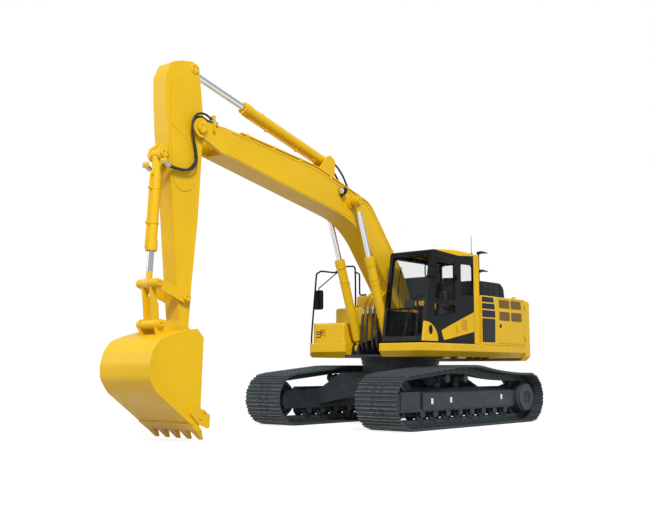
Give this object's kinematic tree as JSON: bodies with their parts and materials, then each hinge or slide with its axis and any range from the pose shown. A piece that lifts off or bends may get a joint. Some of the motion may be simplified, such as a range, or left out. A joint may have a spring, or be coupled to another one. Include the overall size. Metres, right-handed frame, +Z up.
{
  "type": "crawler excavator",
  "caption": "Crawler excavator: cab, engine house and counterweight turn on a tracked base and carry a cranked boom, arm and toothed bucket moved by hydraulic cylinders.",
  "frame": {"origin": "on the ground, below the middle of the machine's whole length with the arm as in the picture, on its centre plane", "axes": "+X forward towards the bucket, +Y to the operator's left where the cab stands, +Z up"},
  "size_m": [9.4382, 3.44, 5.6764],
  "materials": {
    "yellow_paint": "semi-gloss",
    "frame_paint": "satin",
    "track_steel": "matt, dusty",
    "chrome": "polished",
    "black_paint": "gloss",
    "glass": "tinted, clear",
    "seat_cloth": "woven",
    "black_plastic": "moulded"
  },
  "bodies": {
    "undercarriage": {"carbody": "frame_paint", "swing_outer_race": "track_steel", "track_frame_left": "frame_paint", "track_frame_right": "frame_paint", "track_left": "track_steel", "track_right": "track_steel", "sprocket_left": "track_steel", "sprocket_right": "track_steel", "idler_left": "track_steel", "idler_right": "track_steel", "rollers_left": "track_steel", "rollers_right": "track_steel"},
    "cab_door": {"cab_door": "black_paint", "cab_door_glass": "glass"},
    "engine_hood": {"engine_hood": "black_paint"},
    "left_side_door": {"left_side_door": "yellow_paint"},
    "right_side_door": {"right_side_door": "yellow_paint"},
    "boom": {"boom": "yellow_paint", "boom_pipes": "yellow_paint", "work_lamp": "black_paint"},
    "boom_barrels": {"boom_barrel_left": "yellow_paint", "boom_barrel_right": "yellow_paint"},
    "boom_rods": {"boom_rod_left": "chrome", "boom_rod_right": "chrome"},
    "arm": {"arm": "yellow_paint"},
    "arm_barrel": {"arm_barrel": "yellow_paint"},
    "arm_rod": {"arm_rod": "chrome"},
    "bucket_barrel": {"bucket_barrel": "yellow_paint"},
    "bucket_rod": {"bucket_rod": "chrome"},
    "side_links": {"side_links": "yellow_paint"},
    "bucket_link": {"bucket_link": "yellow_paint"},
    "bucket": {"bucket": "yellow_paint", "bucket_teeth": "yellow_paint"},
    "house": {"swing_inner_race": "track_steel", "revolving_frame": "frame_paint", "deck_left": "yellow_paint", "deck_right": "yellow_paint", "counterweight": "yellow_paint", "left_house": "yellow_paint", "right_house": "yellow_paint", "engine_bay": "yellow_paint", "engine": "black_paint", "radiator": "black_paint", "pump": "black_paint", "step_box": "yellow_paint", "fuel_tank": "yellow_paint", "hydraulic_tank": "yellow_paint", "valve_cover": "yellow_paint", "cab_shell": "black_paint", "cab_glass": "glass", "seat": "seat_cloth", "consoles": "black_plastic", "handrail": "black_paint", "mirror_left": "black_paint", "mirror_right": "black_paint", "antenna": "black_paint", "rear_post": "black_paint"}
  },
  "joints": [
    {"name": "swing", "type": "hinge", "parent": "undercarriage", "child": "house", "pos_m": [-1.77, 0, 1.18], "axis": [0, 0, 1], "continuous": true},
    {"name": "boom_lift", "type": "hinge", "parent": "house", "child": "boom", "pos_m": [-1.85, 0, 1.865], "axis": [0, -1, 0], "range_deg": [-58, 22]},
    {"name": "boom_barrel_tilt", "type": "hinge", "parent": "house", "child": "boom_barrels", "pos_m": [-0.95, 0, 1.4], "axis": [0, -1, 0], "range_deg": [-63.41, 24.67]},
    {"name": "boom_rod_slide", "type": "slide", "parent": "boom_barrels", "child": "boom_rods", "axis": [0.3383, 0, 0.941], "range_m": [-0.908, 0.3475]},
    {"name": "arm_swing", "type": "hinge", "parent": "boom", "child": "arm", "pos_m": [3.57518, 0, 4.66035], "axis": [0, 1, 0], "range_deg": [-70, 46]},
    {"name": "arm_barrel_tilt", "type": "hinge", "parent": "boom", "child": "arm_barrel", "pos_m": [0.45976, 0, 4.68965], "axis": [0, 1, 0], "range_deg": [-3.94, 2.93]},
    {"name": "arm_rod_slide", "type": "slide", "parent": "arm_barrel", "child": "arm_rod", "axis": [0.9636, 0, 0.2675], "range_m": [-0.9812, 0.6465]},
    {"name": "bucket_curl", "type": "hinge", "parent": "arm", "child": "bucket", "pos_m": [3.805, 0, 1.53078], "axis": [0, 1, 0], "range_deg": [-35, 110]},
    {"name": "side_links_turn", "type": "hinge", "parent": "arm", "child": "side_links", "pos_m": [3.7902, 0, 2.06012], "axis": [0, 1, 0], "range_deg": [-28.65, 87.9]},
    {"name": "bucket_link_turn", "type": "hinge", "parent": "bucket", "child": "bucket_link", "pos_m": [4.293, 0, 1.65778], "axis": [0, 1, 0], "range_deg": [-90.65, 29.52]},
    {"name": "bucket_barrel_tilt", "type": "hinge", "parent": "arm", "child": "bucket_barrel", "pos_m": [4.21412, 0, 4.16582], "axis": [0, 1, 0], "range_deg": [-2, 4.15]},
    {"name": "bucket_rod_slide", "type": "slide", "parent": "bucket_barrel", "child": "bucket_rod", "axis": [0.0608, 0, -0.9982], "range_m": [-0.2429, 0.7526]},
    {"name": "cab_door_hinge", "type": "hinge", "parent": "house", "child": "cab_door", "pos_m": [-1.652, 1.388, 2.2], "axis": [0, 0, 1], "range_deg": [0, 160]},
    {"name": "left_side_door_hinge", "type": "hinge", "parent": "house", "child": "left_side_door", "pos_m": [-4.087, 1.443, 1.95], "axis": [0, 0, 1], "range_deg": [0, 105]},
    {"name": "right_side_door_hinge", "type": "hinge", "parent": "house", "child": "right_side_door", "pos_m": [-4.087, -1.443, 1.95], "axis": [0, 0, -1], "range_deg": [0, 105]},
    {"name": "engine_hood_hinge", "type": "hinge", "parent": "house", "child": "engine_hood", "pos_m": [-2.902, 0, 2.433], "axis": [0, 1, 0], "range_deg": [0, 60]}
  ],
  "couplings": [
    {"joint": "boom_barrel_tilt", "follows": "boom_lift", "ratio": 1.076},
    {"joint": "boom_rod_slide", "follows": "boom_lift", "m_per_rad": 0.892},
    {"joint": "arm_barrel_tilt", "follows": "arm_swing", "ratio": 0.042},
    {"joint": "arm_rod_slide", "follows": "arm_swing", "m_per_rad": 0.799},
    {"joint": "side_links_turn", "follows": "bucket_curl", "ratio": 0.79},
    {"joint": "bucket_link_turn", "follows": "bucket_curl", "ratio": -0.815},
    {"joint": "bucket_barrel_tilt", "follows": "bucket_curl", "ratio": 0.0286},
    {"joint": "bucket_rod_slide", "follows": "bucket_curl", "m_per_rad": 0.3894}
  ]
}
